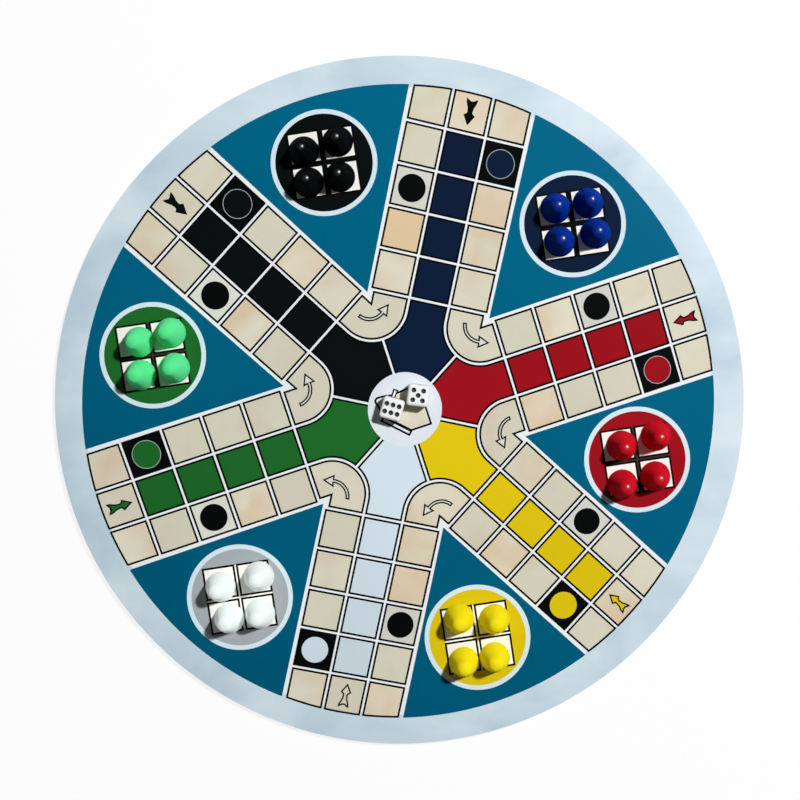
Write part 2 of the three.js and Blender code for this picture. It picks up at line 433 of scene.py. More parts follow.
def ink_finish(name, shade, contrast=0.1, lean=0.0):
    """Printed ink under satin film: cloudy patches, a fine grain and a tint for each plate. With a lean the
    ink is lighter by that share at one side of the sheet and darker at the other: painted light and shade."""
    kept = bpy.data.materials.get(name)
    if kept:
        return kept
    finish, shader = new_finish(name)
    where = shader.where()
    cloud = shader.noise(where, 13.0, detail=3.0)
    grain = shader.noise(where, 1500.0, detail=1.0)
    tint = shader.node("ShaderNodeAttribute", {"attribute_name": "tint"}, output="Fac")
    share = tint + (cloud - 0.5) * 0.8 + (grain - 0.5) * 0.45
    reach = contrast + lean
    # Painted light and shade: the share leans lighter towards one side of the sheet and darker towards the
    # other.
    if lean:
        along = shader.part(where, "X") * math.cos(PAINTED_LIGHT_TURN) + shader.part(where, "Y") * math.sin(PAINTED_LIGHT_TURN)
        along = along * (0.5 / SHEET_HIGH.x)
        share = 0.5 + ((share - 0.5) * contrast + along * lean) * (1 / reach)
    base = shader.between(share, scaled(shade, 1 - reach), scaled(shade, 1 + reach))
    film_over(shader, base, cloud, grain)
    return finish


def cream_finish(inks):
    """Cream ink that drifts towards peach in soft patches, with a tint for each plate."""
    kept = bpy.data.materials.get("cream_ink")
    if kept:
        return kept
    finish, shader = new_finish("cream_ink")
    where = shader.where()
    blush = shader.noise(where, 34.0, detail=2.0, warp=0.4)
    cloud = shader.noise(where, 70.0, detail=3.0)
    grain = shader.noise(where, 1500.0, detail=1.0)
    tint = shader.node("ShaderNodeAttribute", {"attribute_name": "tint"}, output="Fac")
    warmth = shader.span(blush * 0.75 + tint * 0.25, 0.42, 0.76)
    shade = shader.between(warmth, inks.cream, inks.peach)
    share = (cloud - 0.5) * 0.5 + (grain - 0.5) * 0.4 + tint
    light = shader.between(share, (0.86, 0.86, 0.86, 1), (1.02, 1.02, 1.02, 1))
    settings = {"data_type": "RGBA", "blend_type": "MULTIPLY"}
    base = shader.node(
        "ShaderNodeMix", settings, {"Factor_Float": 1.0, "A_Color": shade, "B_Color": light}, "Result_Color"
    )
    film_over(shader, base, cloud, grain)
    return finish


def sheet_finish(board, drawing):
    """White film with faint cloudy patches and the long streaks of the glue under it. Inside the
    print's round edge, where only the gaps of the drawing show it, it is printed a brighter white."""
    finish, shader = new_finish("bare_sheet")
    where = shader.where()
    centred = shader.node(
        "ShaderNodeVectorMath", {"operation": "SUBTRACT"},
        {"Vector": where, "Vector_001": (*drawing.offset, SHEET_HIGH.z)}, "Vector"
    )
    away = shader.node("ShaderNodeVectorMath", {"operation": "LENGTH"}, {"Vector": centred}, "Value")
    bare = shader.span(away, drawing.edge_radius - 0.0016, drawing.edge_radius - 0.001)
    cloud = shader.noise(where, 17.0, detail=4.0, rough=0.55, warp=0.6)
    streak = shader.noise(shader.stretched(where, (4.0, 38.0, 1.0), math.radians(-35)), 1.0, detail=3.0)
    grain = shader.noise(where, 1500.0, detail=1.0)
    share = shader.span(cloud * 0.6 + streak * 0.4, 0.3, 0.7) * 0.85 + grain * 0.15
    film = shader.between(share, board.sheet_dark, board.sheet_light)
    base = shader.between(bare, board.sheet_print, film)
    rough = 0.24 + cloud * 0.1 + grain * 0.04
    normal = shader.bumped(streak * 0.6 + cloud * 0.4, 0.00025, 0.3)
    shader.surface(base, rough, normal, Specular_IOR_Level=FILM_GLOSS)
    return finish


def band_finish(board):
    """Plastic edge band: drawn lines along its length and a few paler scuffs."""
    finish, shader = new_finish("edge_plastic")
    where = shader.where()
    drawn = shader.noise(shader.stretched(where, (3.0, 3.0, 2600.0)), 1.0, detail=3.0)
    scuff = shader.span(shader.noise(where, 60.0, detail=5.0, rough=0.65), 0.58, 0.72)
    shade = shader.between(drawn, scaled(board.band, 0.88), scaled(board.band, 1.1))
    base = shader.between(scuff * 0.35, shade, scaled(board.band, 1.2))
    rough = 0.34 + drawn * 0.14 + scuff * 0.15
    shader.surface(base, rough, shader.bumped(drawn, 0.00004, 0.5))
    return finish


def back_finish(board):
    """Grey backing paper: short fibres both ways, dark flecks and pale scuffs from sliding on a table."""
    finish, shader = new_finish("backing_paper")
    where = shader.where()
    fibre = shader.noise(shader.stretched(where, (170.0, 1100.0, 1.0), 0.5), 1.0, detail=3.0)
    cross = shader.noise(shader.stretched(where, (1100.0, 170.0, 1.0), 0.2), 1.0, detail=3.0)
    cloud = shader.noise(where, 21.0, detail=4.0)
    fleck = shader.span(shader.noise(where, 520.0, detail=1.0), 0.66, 0.74)
    slide = shader.noise(shader.stretched(where, (9.0, 260.0, 1.0), 1.1), 1.0, detail=4.0, rough=0.6)
    scuff = shader.span(slide * 0.6 + cloud * 0.4, 0.56, 0.68)
    share = shader.span((fibre + cross) * 0.35 + cloud * 0.3, 0.36, 0.64)
    paper = shader.between(share, scaled(board.back, 0.82), scaled(board.back, 1.08))
    rubbed = shader.between(scuff * 0.5, paper, scaled(board.back, 1.2))
    base = shader.between(fleck * 0.6, rubbed, scaled(board.back, 0.55))
    shader.surface(base, 0.74 + fibre * 0.12 - scuff * 0.1, shader.bumped(fibre + cross, 0.00008, 0.7))
    return finish


def core_finish(board):
    """Pressed fibreboard: brown with pale and dark specks."""
    finish, shader = new_finish("pressed_fibre")
    where = shader.where()
    speck = shader.noise(where, 1300.0, detail=4.0, rough=0.7)
    cloud = shader.noise(where, 45.0, detail=3.0)
    share = speck * 0.7 + cloud * 0.3
    base = shader.between(share, scaled(board.core, 0.7), scaled(board.core, 1.3))
    shader.surface(base, 0.8 + speck * 0.1, shader.bumped(speck, 0.00006, 0.8))
    return finish


def pawn_finish(player, shade, polished, glow):
    """Moulded plastic with faint flow marks. Light passes a way under its skin, so that the sides look
    nearly as bright as the top: most of it scatters inside, the rest sees normals lifted towards the top,
    and a painted glow, an emission in the plastic's own colour, brightens it though it is no lamp. The
    polished ones have a glossy tip."""
    finish, shader = new_finish(f"{player}_plastic")
    where = shader.where()
    height = shader.part(where, "Z")
    flow = shader.noise(shader.stretched(where, (90.0, 90.0, 40.0)), 1.0, detail=3.0, warp=0.8)
    rub = shader.noise(where, 420.0, detail=4.0, rough=0.6)
    base = shader.between(flow, scaled(shade, 0.95), scaled(shade, 1.05))
    tip = shader.span(height, PAWN_TOP - TIP_FADE, PAWN_TOP - TIP_FULL)
    rough = 0.5 + (rub - 0.5) * 0.1
    normal = shader.bumped(flow * 0.6 + rub * 0.4, 0.00003, 0.05, shader.lifted(PAWN_LIFT))
    shader.surface(
        base, rough, normal, Specular_IOR_Level=PAWN_GLOSS,
        Coat_Weight=tip if polished else 0.0, Coat_Roughness=0.32, Coat_IOR=1.7,
        Subsurface_Weight=PAWN_SCATTER, Subsurface_Radius=(1.0, 1.0, 1.0), Subsurface_Scale=PAWN_DEPTH,
        # Painted glow: an emission in the plastic's colour that brightens the pawn as though it were lit.
        Emission_Color=base, Emission_Strength=glow,
    )
    return finish


def die_finish(die):
    """White plastic of the dice, a little warmer and duller where it is handled."""
    finish, shader = new_finish("die_plastic")
    where = shader.where()
    cloud = shader.noise(where, 160.0, detail=3.0)
    rub = shader.noise(where, 900.0, detail=3.0, rough=0.6)
    base = shader.between(cloud * 0.7 + rub * 0.3, scaled(die.body, 0.93), scaled(die.body, 1.02))
    shader.surface(base, 0.26 + rub * 0.14, shader.bumped(rub, 0.00002, 0.3))
    return finish


def spot_finish(die):
    """Blue-black paint in the spots, pooled in their middle."""
    finish, shader = new_finish("spot_paint")
    where = shader.where()
    pool = shader.noise(where, 700.0, detail=3.0)
    base = shader.between(pool, scaled(die.spots, 0.6), scaled(die.spots, 2.2))
    shader.surface(base, 0.3 + pool * 0.2, shader.bumped(pool, 0.00003, 0.4))
    return finish


def floor_finish(stage):
    """White floor that looks the same white under any lamp, yet keeps a soft shadow."""
    finish, shader = new_finish("studio_floor")
    where = shader.where()
    cloud = shader.noise(where, 6.0, detail=2.0)
    shade = shader.between(cloud, scaled(stage.floor, 0.985), scaled(stage.floor, 1.015))
    lit = shader.node("ShaderNodeBsdfDiffuse", {}, {"Color": shade}, "BSDF")
    glow = shader.node("ShaderNodeEmission", {}, {"Color": (1, 1, 1, 1), "Strength": 1.0}, "Emission")
    seen = shader.node("ShaderNodeLightPath", output="Is Camera Ray")
    glossy = shader.node("ShaderNodeLightPath", output="Is Glossy Ray")
    through = shader.node("ShaderNodeLightPath", output="Is Transmission Ray")
    share = seen.most(glossy).most(through) * stage.floor_glow
    both = shader.node("ShaderNodeMixShader", {}, {"Fac": share, "Shader": lit, "Shader_001": glow}, "Shader")
    shader.node("ShaderNodeOutputMaterial", {}, {"Surface": both})
    return finish


def turned(points, turn):
    """Points in the plane, turned anticlockwise about the middle."""
    c, s = math.cos(turn), math.sin(turn)
    return np.asarray(points) @ np.array([[c, s], [-s, c]])


def arc(centre, radius, start, end, steps=ARC_STEPS):
    """Points of a circle's arc: the centre plus radius times cosine and sine of equal angle steps."""
    angles = np.linspace(start, end, steps)
    return np.asarray(centre) + radius * np.stack([np.cos(angles), np.sin(angles)], axis=1)


def circle(centre, radius, steps=ROUND_STEPS):
    """Points of a whole circle, anticlockwise."""
    return arc(centre, radius, 0, math.tau, steps + 1)[:-1]


def inset(outline, distance):
    """An anticlockwise outline moved inwards. A corner moves along the sum of its sides' inward
    normals, divided by one plus their product, which keeps every side at the distance."""
    side = np.roll(outline, -1, axis=0) - outline
    side = side / np.linalg.norm(side, axis=1, keepdims=True)
    after = np.stack([-side[:, 1], side[:, 0]], axis=1)
    before = np.roll(after, 1, axis=0)
    product = np.sum(before * after, axis=1, keepdims=True)
    return outline + distance * (before + after) / (1 + product)


def mirrored(points):
    """Points reflected in the x axis, in reverse order, so that they go on from the first ones."""
    return points[::-1] * (1, -1)


def printed(drawing, outline, turn):
    """Where points of the drawing come to lie: turned to their arm, then pulled so that the middle
    moves by s while the round edge, taken as the unit, stays. Along s a point p goes to p + s and
    across it to p times the root of 1 - s^2, both divided by 1 + s.p; a slight stretch follows."""
    points = turned(outline, turn) / drawing.edge_radius
    pull = np.array(drawing.pull) / drawing.edge_radius
    along = (points @ pull)[:, None] * pull / (pull @ pull)
    across = (points - along) * math.sqrt(1 - pull @ pull)
    pulled = (along + pull + across) / (1 + points @ pull)[:, None]
    stretch = np.array([[1 + drawing.stretch, drawing.slant], [drawing.slant, 1 - drawing.stretch]])
    return np.array(drawing.offset) + drawing.edge_radius * pulled @ stretch


def band_faces(rows, columns, closed):
    """Four-sided faces between neighbouring rings of a grid that wraps along its rings; where it is
    closed, the last ring joins the first."""
    row = np.arange(rows if closed else rows - 1)[:, None]
    column = np.arange(columns)[None, :]
    across = (column + 1) % columns
    above = (row + 1) % rows
    low, high = row * columns, above * columns
    faces = [low + column, low + across, high + across, high + column]
    return np.stack(np.broadcast_arrays(*faces), axis=-1).reshape(-1, 4)


class Plates:
    """Plates of one ink, gathered for one mesh. Each plate keeps a tint about 0.5."""

    def __init__(self, drawing):
        self.drawing = drawing
        self.points, self.faces, self.tints = [], [], []
        self.count = 0

    def height(self, level):
        """Height of a level of ink: the top level is the board's top."""
        return SHEET_HIGH.z - (LEVELS - level) * self.drawing.ink

    def raised(self, outline, level):
        """An outline at the height of a level."""
        return np.column_stack([outline, np.full(len(outline), self.height(level))])

    def add(self, points, faces, tint):
        """Adds points and faces that count from the first of them."""
        self.points.append(points)
        self.faces += [(np.asarray(face) + self.count).tolist() for face in faces]
        self.tints.append(np.full(len(points), tint))
        self.count += len(points)

    def plate(self, outline, level, tint=0.5):
        """A flat plate: the outline at two heights, joined by a wall and closed by two caps."""
        size = len(outline)
        points = np.vstack([self.raised(outline, level - 1), self.raised(outline, level)])
        caps = [np.arange(size)[::-1], np.arange(size) + size]
        self.add(points, [*band_faces(2, size, False), *caps], tint)

    def line(self, outline, width, level, tint=0.5):
        """A line inside an outline: a rectangle carried round it, as four rings."""
        inner = inset(outline, width)
        rings = [(outline, level - 1), (outline, level), (inner, level), (inner, level - 1)]
        points = np.vstack([self.raised(*ring) for ring in rings])
        self.add(points, band_faces(4, len(outline), True), tint)

    def piece(self, name, finish):
        """The gathered plates as one piece of the board."""
        tints = np.concatenate(self.tints)
        return new_piece(name, np.vstack(self.points), self.faces, finish, "board", "print", tints=tints)


def new_piece(name, points, faces, finish, body, slot=None, stands_for=(), tints=None):
    """A piece from points and faces, riding on a body, smooth but for its sharp edges."""
    mesh = bpy.data.meshes.new(name)
    mesh.from_pydata(np.asarray(points).tolist(), [], [list(face) for face in faces])
    if mesh.validate():
        raise RuntimeError(f"{name} has faces that can't be used")
    mesh.shade_smooth()
    mesh.set_sharp_from_angle(angle=SHARP_ANGLE)
    if tints is not None:
        mesh.attributes.new("tint", "FLOAT", "POINT").data.foreach_set("value", tints.astype(np.float32))
    mesh.materials.append(finish)
    piece = bpy.data.objects.new(name, mesh)
    bpy.context.scene.collection.objects.link(piece)
    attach(piece, body)
    if stands_for:
        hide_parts(*stands_for)
    return piece


def lathe(profile, sides, turn=0.0, ridge=None):
    """A profile of radius and height, from the axis to the axis, turned round +Z: the point at
    angle a is (r cos a, r sin a, h). A ridge adds to r by the point's distance from the plane
    through the axis. The two ends close in fans."""
    angles = np.arange(sides) * (math.tau / sides)
    radius, height = profile[1:-1, :1], profile[1:-1, 1:]
    spread = np.repeat(radius, sides, axis=1)
    if ridge:
        spread = spread + ridge(spread * np.sin(angles), height)
    tall = np.repeat(height, sides, axis=1)
    rings = np.stack([spread * np.cos(angles + turn), spread * np.sin(angles + turn), tall], axis=-1)
    poles = np.array([[0, 0, profile[0, 1]], [0, 0, profile[-1, 1]]])
    points = np.vstack([rings.reshape(-1, 3), poles])
    near = np.arange(sides)
    far = (near + 1) % sides
    last = (len(radius) - 1) * sides
    low = np.stack([np.full(sides, len(points) - 2), far, near], axis=1)
    high = np.stack([last + near, last + far, np.full(sides, len(points) - 1)], axis=1)
    return points, [*band_faces(len(radius), sides, False), *low, *high]


def hoop(profile, sides):
    """A closed profile of radius and height turned round +Z into a ring."""
    angles = np.arange(sides) * (math.tau / sides)
    radius, height = profile[:, :1], profile[:, 1:]
    tall = np.repeat(height, sides, axis=1)
    points = np.stack([radius * np.cos(angles), radius * np.sin(angles), tall], axis=-1)
    return points.reshape(-1, 3), band_faces(len(profile), sides, True)


def disc_profile(radius, low, high, rounding):
    """Half a flat disc, from the axis under it to the axis over it, with two rounded edges."""
    quarter = math.pi / 2
    inner = radius - rounding
    flat = np.linspace(0, 1, 14)[:, None]
    under = np.array([0, low]) + flat * np.array([inner, 0])
    over = np.array([inner, high]) - flat * np.array([inner, 0])
    lower = arc((inner, low + rounding), rounding, -quarter, 0, 6)
    upper = arc((inner, high - rounding), rounding, 0, quarter, 6)
    return np.vstack([under[:-1], lower, upper, over[1:]])


def band_profile(board):
    """The edge band's section: a tall rectangle with its two outer edges rounded."""
    quarter = math.pi / 2
    inner = CORE_HIGH.x + (BAND_HIGH.x - CORE_HIGH.x) * 0.12
    edge = BAND_HIGH.x - board.band_round
    lower = arc((edge, BAND_LOW.z + board.band_round), board.band_round, -quarter, 0, 7)
    upper = arc((edge, BAND_HIGH.z - board.band_round), board.band_round, 0, quarter, 7)
    return np.vstack([[(inner, BAND_LOW.z)], lower, upper, [(inner, BAND_HIGH.z)]])


def cell_outline(drawing, row, column):
    """A cell of an arm along +X: a rectangle between its row lines and column lines, less half the
    gap all round. The outermost row ends in the round edge, at the root of R^2 - y^2."""
    near = drawing.row_start + (ROWS - 1 - row) * drawing.row_pitch + drawing.gap / 2
    half = (drawing.column_pitch - drawing.gap) / 2
    middle = column * drawing.column_pitch
    across = np.linspace(middle - half, middle + half, ARC_STEPS if row == 0 else 2)
    if row == 0:
        far = np.sqrt(drawing.edge_radius**2 - across**2)
    else:
        far = np.full(2, near + drawing.row_pitch - drawing.gap)
    return np.vstack([[(near, middle + half), (near, middle - half)], np.column_stack([far, across])])


def cell_middle(drawing, row, column):
    """The middle of a cell of an arm along +X."""
    return (drawing.row_start + (ROWS - 0.5 - row) * drawing.row_pitch, column * drawing.column_pitch)


def corner_outline(drawing):
    """The corner cell between two arms, about the yard's axis along +X: an arc about a point of the
    axis, the ends of the two arms' rows, and a notch where the cells' sides would meet."""
    side = drawing.column_pitch / 2 + drawing.gap / 2
    radius = drawing.corner_centre * math.sin(HALF_SIXTH) - side
    row_end = drawing.row_start - drawing.gap / 2
    bend = arc((drawing.corner_centre, 0), radius, math.pi, math.pi + SIXTH)
    ends = turned([(row_end, side), (row_end, drawing.corner_side)], -HALF_SIXTH)
    notch = (drawing.corner_side / math.sin(HALF_SIXTH), 0)
    half = np.vstack([bend, ends])
    return np.vstack([half, [notch], mirrored(half)[:-1]])


def home_outline(drawing):
    """An arm's home about +X: the row's end, the column's sides, the arcs round the two corners and
    two sides along the yards' axes that end under the disc."""
    half = drawing.column_pitch / 2 - drawing.gap / 2
    axis = np.array([math.cos(HALF_SIXTH), math.sin(HALF_SIXTH)])
    inwards = np.array([axis[1], -axis[0]])
    radius = drawing.corner_centre * math.sin(HALF_SIXTH) - half
    lean = math.asin(drawing.gap / 2 / radius)
    start = drawing.disc_radius * 0.8 * axis + drawing.gap / 2 * inwards
    bend = arc(drawing.corner_centre * axis, radius, math.pi + HALF_SIXTH + lean, math.pi * 1.5)
    upper = np.vstack([[start], bend, [(drawing.row_start - drawing.gap / 2, half)]])
    return np.vstack([upper * (1, -1), upper[::-1]])


def sector_outline(drawing):
    """A sector about the yard's axis along +X: a tip on the axis, two straight sides and the arc of
    the round edge between them."""
    tip = drawing.sector_side / math.sin(HALF_SIXTH)
    lean = HALF_SIXTH - drawing.sector_flare
    reach = math.sqrt(drawing.edge_radius**2 - (tip * math.sin(lean)) ** 2) - tip * math.cos(lean)
    end = math.atan2(reach * math.sin(lean), tip + reach * math.cos(lean))
    return np.vstack([[(tip, 0)], arc((0, 0), drawing.edge_radius, -end, end, ROUND_STEPS)])


def dart_outline(drawing):
    """A dart that points to the middle, half of it given by its corners and the rest mirrored."""
    tail = [(5.2, 0.6), (6.0, 1.6), (6.6, 2.95), (4.2, 2.5), (2.2, 1.6)]
    half = np.array([*tail, (0.3, 1.3), (-0.5, 1.4), (-1.6, 2.85)])
    tip = (-6.5, 0.0)
    return np.array([drawing.dart_middle, 0]) + np.vstack([half, [tip], mirrored(half)]) * MM


def arrow_outline():
    """A bent arrow about the yard's axis along +X: the outer arc of the shaft, the head's three
    corners and the inner arc back."""
    centre = np.array([57.5, 0.74])
    tail, neck = math.pi - math.radians(59), math.pi + math.radians(33)
    outer = arc(centre, 9.15, tail, neck)
    inner = arc(centre, 7.05, neck, tail)
    head = [(47.9, -5.5), (54.1, -8.5), (53.3, -1.6)]
    return np.vstack([outer, head, inner]) * MM


class LayBoard(bpy.types.Operator):
    """Lays the printed sheet, the edge band and the backing round the core"""

    bl_idname = "race_board.lay_board"
    bl_label = "Lay Board"

    def execute(self, context):
        board = context.scene.race_board.board
        drawing = context.scene.race_board.drawing
        bare = SHEET_HIGH.z - LEVELS * drawing.ink
        rounding = min(board.sheet_round, (bare - SHEET_LOW.z) / 2)
        sheet = lathe(disc_profile(SHEET_HIGH.x, SHEET_LOW.z, bare, rounding), BOARD_SIDES)
        back = lathe(disc_profile(BACK_HIGH.x, BACK_LOW.z, BACK_HIGH.z, board.back_round), BOARD_SIDES)
        band = hoop(band_profile(board), BOARD_SIDES)
        new_piece("board_sheet", *sheet, sheet_finish(board, drawing), "board", "print", ["printed_sheet"])
        new_piece("board_backing", *back, back_finish(board), "board", "backing", ["backing_sheet"])
        new_piece("board_band", *band, band_finish(board), "board", "edge", ["edge_band"])
        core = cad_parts["core_panel"]
        core.data.materials.clear()
        core.data.materials.append(core_finish(board))
        return {"FINISHED"}


class PrintSectors(bpy.types.Operator):
    """Prints the six coloured sectors between the arms"""

    bl_idname = "race_board.print_sectors"
    bl_label = "Print Sectors"

    def execute(self, context):
        drawing = context.scene.race_board.drawing
        inks = context.scene.race_board.inks
        sectors = Plates(drawing)
        for arm in range(len(PLAYERS)):
            turn = drawing.arm_turn + arm * SIXTH + HALF_SIXTH
            sectors.plate(printed(drawing, sector_outline(drawing), turn), 1)
        # The teal carries painted light and shade: lighter towards one side of the board, darker towards the
        # other.
        sectors.piece("print_sectors", ink_finish("teal_ink", inks.teal, lean=TEAL_PAINTED_LIGHT))
        return {"FINISHED"}


class PrintTrack(bpy.types.Operator):
    """Prints the cells of the track with their outlines, dots and start cells"""

    bl_idname = "race_board.print_track"
    bl_label = "Print Track"

    def execute(self, context):
        drawing = context.scene.race_board.drawing
        inks = context.scene.race_board.inks
        lines, cells, stops, starts, warm, rings = (Plates(drawing) for _ in range(6))
        tints = iter(np.random.default_rng(CELL_SEED).uniform(0.0, 1.0, 400).tolist())
        for arm, player in enumerate(PLAYERS):
            turn = drawing.arm_turn + arm * SIXTH
            places = [(row, column) for row in range(ROWS) for column in (1, -1)] + [(0, 0)]
            for row, column in places:
                outline = printed(drawing, cell_outline(drawing, row, column), turn)
                if (row, column) == (START_ROW, -1):
                    starts.plate(outline, 1)
                    continue
                lines.line(outline, drawing.line, 1)
                kind = stops if (row, column) == (STOP_ROW, 1) else cells
                if player == "blue" and (row, column) == (3, 1):
                    kind = warm
                kind.plate(inset(outline, drawing.line), 1, next(tints))
            corner = printed(drawing, corner_outline(drawing), turn + HALF_SIXTH)
            lines.line(corner, drawing.line, 1)
            cells.plate(inset(corner, drawing.line), 1, next(tints))
            stop = circle(cell_middle(drawing, STOP_ROW, 1), drawing.dot_radius)
            starts.plate(printed(drawing, stop, turn), 2)
            if player not in ("white", "yellow"):
                start = circle(cell_middle(drawing, START_ROW, -1), drawing.start_radius)
                rings.line(printed(drawing, start, turn), drawing.start_ring, 2)
        lines.piece("print_track_lines", ink_finish("black_ink", inks.black, LINE_CONTRAST))
        cells.piece("print_track_cells", cream_finish(inks))
        stops.piece("print_stop_cells", ink_finish("pale_ink", inks.pale))
        starts.piece("print_starts_and_dots", ink_finish("black_ink", inks.black, LINE_CONTRAST))
        warm.piece("print_warm_cell", ink_finish("warm_ink", inks.warm))
        rings.piece("print_start_rings", ink_finish("ring_ink", inks.ring_grey))
        return {"FINISHED"}


class PrintPlayers(bpy.types.Operator):
    """Prints the coloured squares, homes, start circles and darts of the six players"""

    bl_idname = "race_board.print_players"
    bl_label = "Print Players"

    def execute(self, context):
        drawing = context.scene.race_board.drawing
        inks = context.scene.race_board.inks
        lines = Plates(drawing)
        for arm, player in enumerate(PLAYERS):
            turn = drawing.arm_turn + arm * SIXTH
            own = Plates(drawing)
            outlines = [cell_outline(drawing, row, 0) for row in range(1, ROWS)] + [home_outline(drawing)]
            for step, outline in enumerate(outlines):
                shown = printed(drawing, outline, turn)
                lines.line(shown, drawing.line, 1)
                own.plate(inset(shown, drawing.line), 1, 0.35 + 0.15 * step)
            radius = drawing.start_radius - (0 if player == "yellow" else drawing.start_ring)
            own.plate(printed(drawing, circle(cell_middle(drawing, START_ROW, -1), radius), turn), 2)
            dart = printed(drawing, dart_outline(drawing), turn)
            lines.line(dart, drawing.sign_line, 2)
            if player != "white":
                (lines if player == "blue" else own).plate(inset(dart, drawing.sign_line), 2)
            shade = getattr(inks, f"player_{player}")
            own.piece(f"print_{player}_arm", ink_finish(f"{player}_player_ink", shade))
        lines.piece("print_arm_lines", ink_finish("black_ink", inks.black, LINE_CONTRAST))
        return {"FINISHED"}


class PrintYards(bpy.types.Operator):
    """Prints the six round yards with four places each"""

    bl_idname = "race_board.print_yards"
    bl_label = "Print Yards"

    def execute(self, context):
        drawing = context.scene.race_board.drawing
        inks = context.scene.race_board.inks
        yard = context.scene.race_board.yard
        rings, pale_gaps, dim_gaps, dark_gaps, lines, places = (Plates(drawing) for _ in range(6))
        gaps_of = {"white": pale_gaps, "yellow": pale_gaps, "red": dim_gaps, "green": dim_gaps}
        tints = iter(np.random.default_rng(PLACE_SEED).uniform(0.3, 0.7, len(PLAYERS) * PAWNS_EACH).tolist())
        for arm, player in enumerate(PLAYERS):
            turn = drawing.arm_turn + arm * SIXTH - HALF_SIXTH
            even = yard.radius * np.array([math.cos(turn), math.sin(turn)])
            middle = even + np.array(YARD_SHIFTS[player]) * MM
            disc = circle(middle, yard.ring_radius - yard.ring_width)
            rings.line(circle(middle, yard.ring_radius), yard.ring_width, 2)
            own = Plates(drawing)
            own.plate(disc, 2)
            shade = inks.yard_grey if player == "white" else getattr(inks, f"player_{player}")
            name = "grey_ink" if player == "white" else f"{player}_player_ink"
            own.piece(f"print_{player}_yard", ink_finish(name, shade))
            square = np.array([(-1, -1), (1, -1), (1, 1), (-1, 1)]) / 2
            whole = turned(square * (yard.pitch + yard.side), yard.grid_turn) + middle
            gaps_of.get(player, dark_gaps).plate(inset(whole, yard.line / 2), 3)
            for spot in turned(square * yard.pitch, yard.grid_turn) + middle:
                outline = turned(square * yard.side, yard.grid_turn) + spot
                lines.line(outline, yard.line, 4)
                places.plate(inset(outline, yard.line), 4, next(tints))
        rings.piece("print_yard_rings", ink_finish("white_ink", inks.white))
        pale_gaps.piece("print_yard_pale_gaps", ink_finish("bright_ink", inks.bright))
        dim_gaps.piece("print_yard_dim_gaps", ink_finish("dim_ink", inks.dim))
        dark_gaps.piece("print_yard_dark_gaps", ink_finish("black_ink", inks.black, LINE_CONTRAST))
        lines.piece("print_yard_lines", ink_finish("black_ink", inks.black, LINE_CONTRAST))
        places.piece("print_yard_places", ink_finish("bright_ink", inks.bright))
        return {"FINISHED"}


class PrintArrows(bpy.types.Operator):
    """Prints the bent arrows in the six corner cells"""

    bl_idname = "race_board.print_arrows"
    bl_label = "Print Arrows"

    def execute(self, context):
        drawing = context.scene.race_board.drawing
        inks = context.scene.race_board.inks
        lines, insides = Plates(drawing), Plates(drawing)
        for arm in range(len(PLAYERS)):
            turn = drawing.arm_turn + arm * SIXTH + HALF_SIXTH
            arrow = printed(drawing, arrow_outline(), turn)
            lines.line(arrow, drawing.sign_line, 2)
            insides.plate(inset(arrow, drawing.sign_line), 2)
        lines.piece("print_arrow_lines", ink_finish("black_ink", inks.black, LINE_CONTRAST))
        insides.piece("print_arrow_insides", ink_finish("pale_ink", inks.pale))
        return {"FINISHED"}


class PrintHouse(bpy.types.Operator):
    """Prints the white disc in the middle with the sign of a house"""

    bl_idname = "race_board.print_house"
    bl_label = "Print House"

    def execute(self, context):
        drawing = context.scene.race_board.drawing
        inks = context.scene.race_board.inks
        disc, lines, white, cream = (Plates(drawing) for _ in range(4))
        middle = np.array(drawing.disc_place)
        disc.plate(printed(drawing, circle(middle, drawing.disc_radius), 0), 2)
        turn = drawing.house_turn - math.pi / 2
        ridge = [(1.6, 13.6), (0.2, 14.4), (-1.4, 13.6)]
        eave = [(-9.6, 3.7), (-12.6, 1.8), (-14.9, -0.2)]
        eave_end = [(-15.9, -1.4), (-16.1, -2.8), (-15.3, -4.1), (-14.0, -4.6)]
        walls = [(-8.2, -8.4), (7.9, -8.4), (15.9, -0.4)]
        gable = np.array([*walls, *ridge, *eave, *eave_end])
        bar = np.array([(-8.5, -11.0), (8.4, -11.0), (8.4, -7.9), (-8.5, -7.9)])
        chimney = np.array([(-9.3, 2.0), (-7.0, 2.4), (-7.4, 7.2), (-10.1, 6.8)])
        signs = ((gable, drawing.line, 3), (bar, drawing.line, 4), (chimney, drawing.sign_line, 4))
        for sign, width, level in signs:
            shown = printed(drawing, turned(sign * MM, turn) + middle, 0)
            lines.line(shown, width, level)
            white.plate(inset(shown, width), level)
        # The room's cream lies half a layer under the chimney that it passes behind.
        room = inset(np.array([*walls, (0.2, 14.4), (-15.0, -1.2)]), 1.1)
        cream.plate(printed(drawing, turned(room * MM, turn) + middle, 0), 3.5)
        disc.piece("print_disc", ink_finish("disc_ink", inks.disc))
        lines.piece("print_house_lines", ink_finish("black_ink", inks.black, LINE_CONTRAST))
        white.piece("print_house_white", ink_finish("disc_ink", inks.disc))
        cream.piece("print_house_cream", cream_finish(inks))
        return {"FINISHED"}


